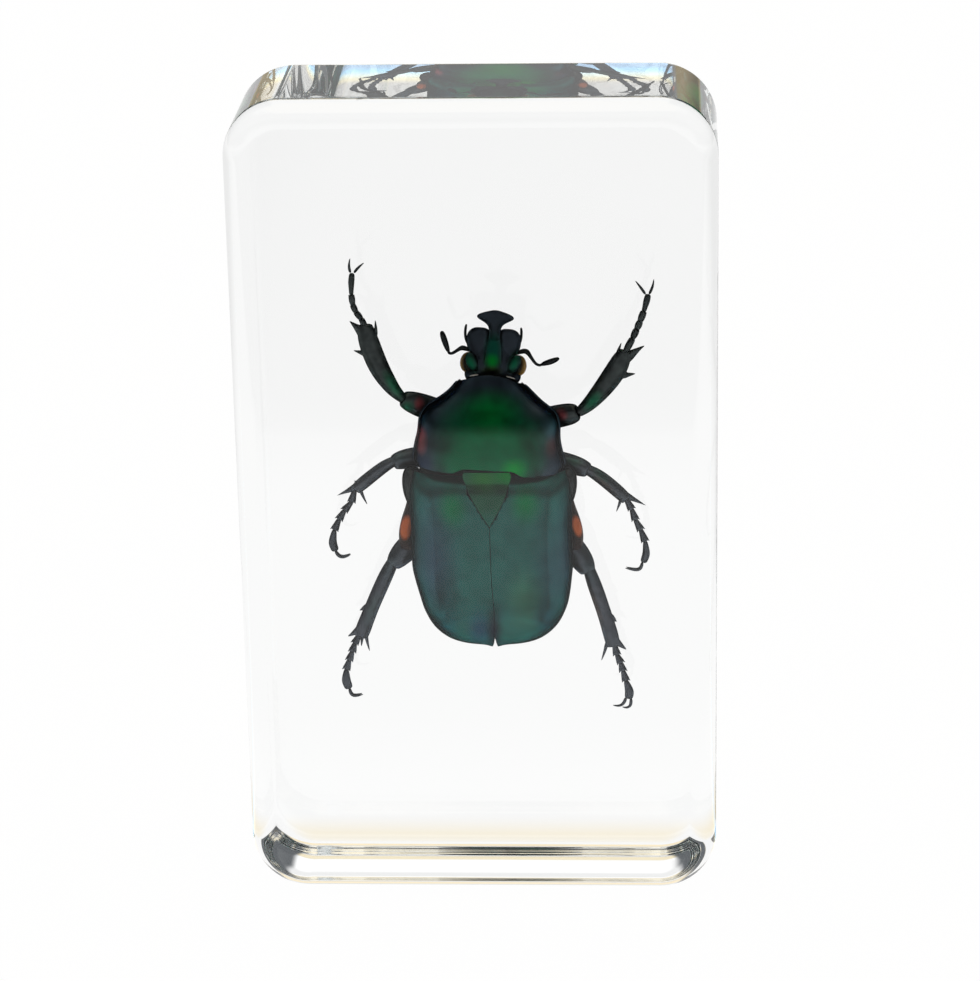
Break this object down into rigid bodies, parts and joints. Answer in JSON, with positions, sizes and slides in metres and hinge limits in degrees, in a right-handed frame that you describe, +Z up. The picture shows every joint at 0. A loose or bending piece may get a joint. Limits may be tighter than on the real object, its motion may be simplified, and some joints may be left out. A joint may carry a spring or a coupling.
{
  "type": "insect in resin block",
  "caption": "Clear cast-resin block with round corners and softened edges, standing on its narrow end with a flower beetle sealed at mid depth.",
  "frame": {"origin": "on the surface the block stands on, under the middle of its base", "axes": "+Z up along the block's length, -Y out of the front face that shows the beetle's back, +X to the right seen from the front"},
  "size_m": [0.044, 0.0164, 0.0768],
  "materials": {
    "clear_resin": "polished",
    "green_shell": "gloss",
    "teal_wing_case": "satin",
    "dark_leg": "gloss",
    "rust_side_plate": "satin",
    "eye": "gloss"
  },
  "bodies": {
    "root": {"resin_block": "clear_resin"}
  },
  "joints": []
}
